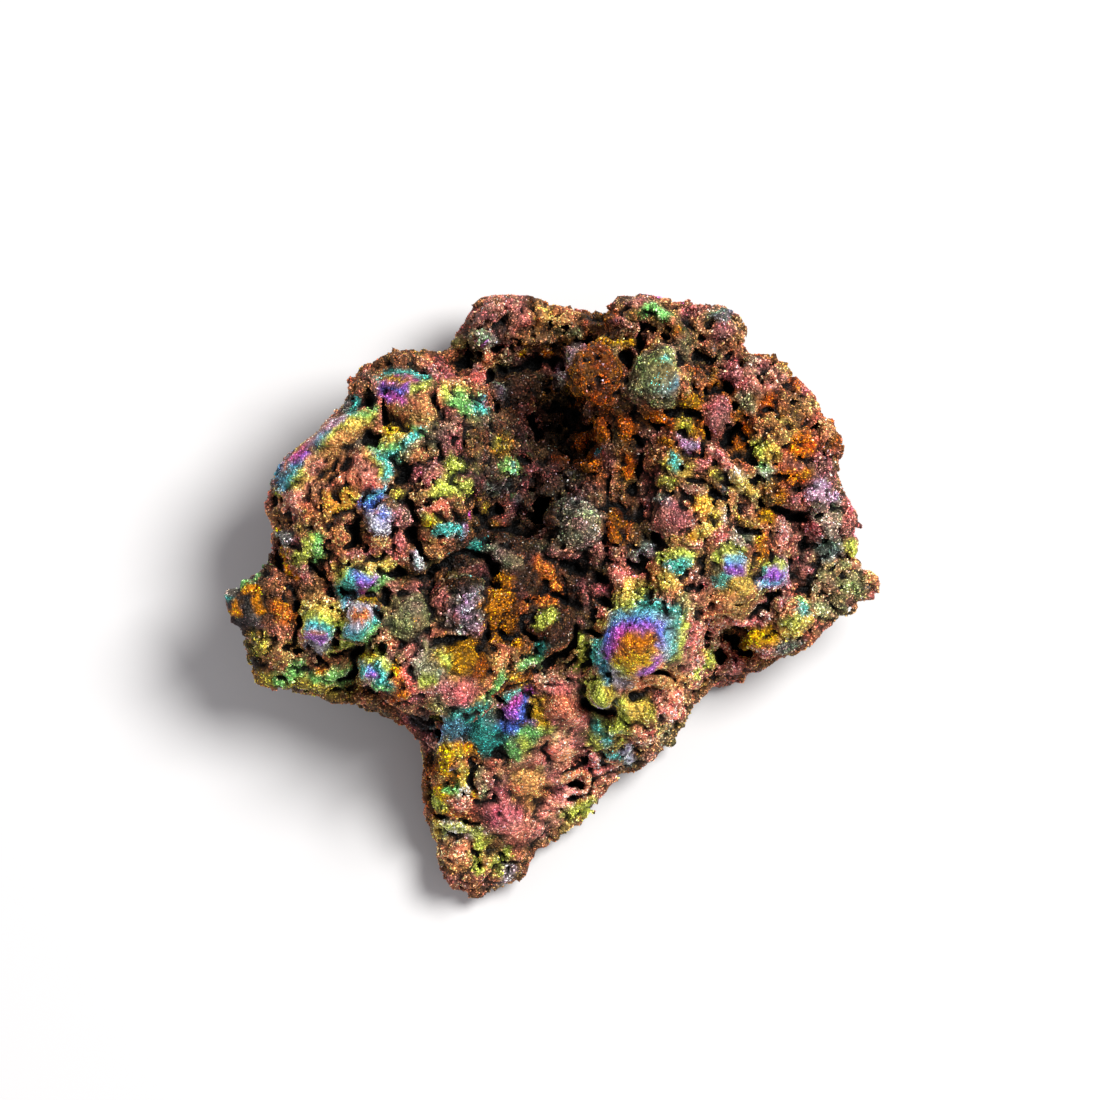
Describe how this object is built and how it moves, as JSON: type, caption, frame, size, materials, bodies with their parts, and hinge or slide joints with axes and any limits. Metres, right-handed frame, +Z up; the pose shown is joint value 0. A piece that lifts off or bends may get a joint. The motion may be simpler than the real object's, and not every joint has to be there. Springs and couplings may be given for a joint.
{
  "type": "mineral specimen",
  "caption": "Rough lump of iridescent goethite with a deep central hollow, a sloping front spur and a spongy back corner, lying on a flat foot.",
  "frame": {"origin": "on the resting plane, under the middle of the bounding box", "axes": "+X points to the small horn on the right, -Y to the spur at the front, +Z up from the flat foot"},
  "size_m": [0.0762, 0.071, 0.036],
  "materials": {
    "goethite": "rough, velvety, with an iridescent film in patches"
  },
  "bodies": {
    "root": {"goethite": "goethite"}
  },
  "joints": []
}
